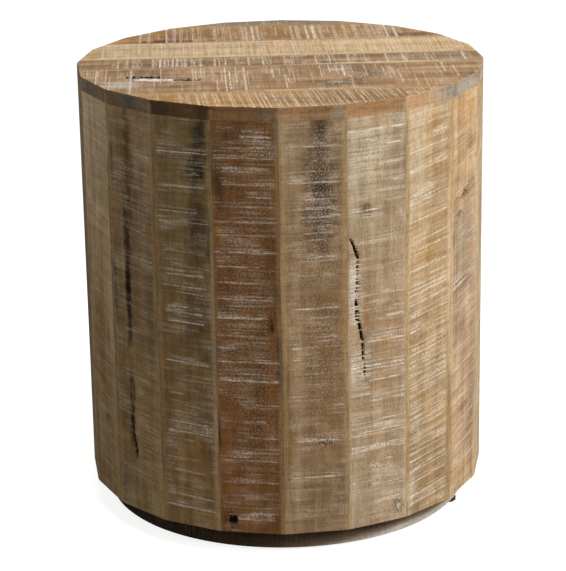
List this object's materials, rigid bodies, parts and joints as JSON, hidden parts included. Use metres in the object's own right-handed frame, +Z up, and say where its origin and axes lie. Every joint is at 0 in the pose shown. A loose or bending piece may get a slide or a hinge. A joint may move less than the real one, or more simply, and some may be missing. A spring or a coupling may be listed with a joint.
{
  "type": "drum side table",
  "caption": "Drum side table: upright sawn boards mitred into a many-sided hollow drum, with a boarded top and a set back round plinth.",
  "frame": {"origin": "centre of the drum on the floor", "axes": "+Z up along the drum's axis, -Y towards the front, where one of the drum's corners lies"},
  "size_m": [0.4564, 0.4564, 0.508],
  "materials": {
    "stave_boards": "rough sawn, washed with pale filler in the saw marks",
    "rim_blocks": "sanded",
    "top_boards": "rough sawn and sanded, clear matt",
    "plinth_wood": "dark stain",
    "plywood": "bare plywood",
    "glide_nylon": "moulded",
    "zinc_steel": "zinc plated"
  },
  "bodies": {
    "root": {"base_panel": "plywood", "glide_nails": "zinc_steel", "glides": "glide_nylon", "lower_hoop": "plywood", "plinth_arc_1": "plinth_wood", "plinth_arc_2": "plinth_wood", "plinth_arc_3": "plinth_wood", "plinth_arc_4": "plinth_wood", "plinth_screws": "zinc_steel", "rim_01": "rim_blocks", "rim_02": "rim_blocks", "rim_03": "rim_blocks", "rim_04": "rim_blocks", "rim_05": "rim_blocks", "rim_06": "rim_blocks", "rim_07": "rim_blocks", "rim_08": "rim_blocks", "rim_09": "rim_blocks", "rim_10": "rim_blocks", "rim_11": "rim_blocks", "rim_12": "rim_blocks", "rim_13": "rim_blocks", "rim_14": "rim_blocks", "rim_15": "rim_blocks", "rim_16": "rim_blocks", "rim_17": "rim_blocks", "rim_18": "rim_blocks", "rim_19": "rim_blocks", "rim_20": "rim_blocks", "stave_01": "stave_boards", "stave_02": "stave_boards", "stave_03": "stave_boards", "stave_04": "stave_boards", "stave_05": "stave_boards", "stave_06": "stave_boards", "stave_07": "stave_boards", "stave_08": "stave_boards", "stave_09": "stave_boards", "stave_10": "stave_boards", "stave_11": "stave_boards", "stave_12": "stave_boards", "stave_13": "stave_boards", "stave_14": "stave_boards", "stave_15": "stave_boards", "stave_16": "stave_boards", "stave_17": "stave_boards", "stave_18": "stave_boards", "stave_19": "stave_boards", "stave_20": "stave_boards", "stave_screws": "zinc_steel", "sub_top": "plywood", "top_board_1": "top_boards", "top_board_2": "top_boards", "top_board_3": "top_boards", "top_board_4": "top_boards", "top_board_5": "top_boards", "top_board_6": "top_boards", "top_screws": "zinc_steel", "upper_hoop": "plywood"}
  },
  "joints": []
}
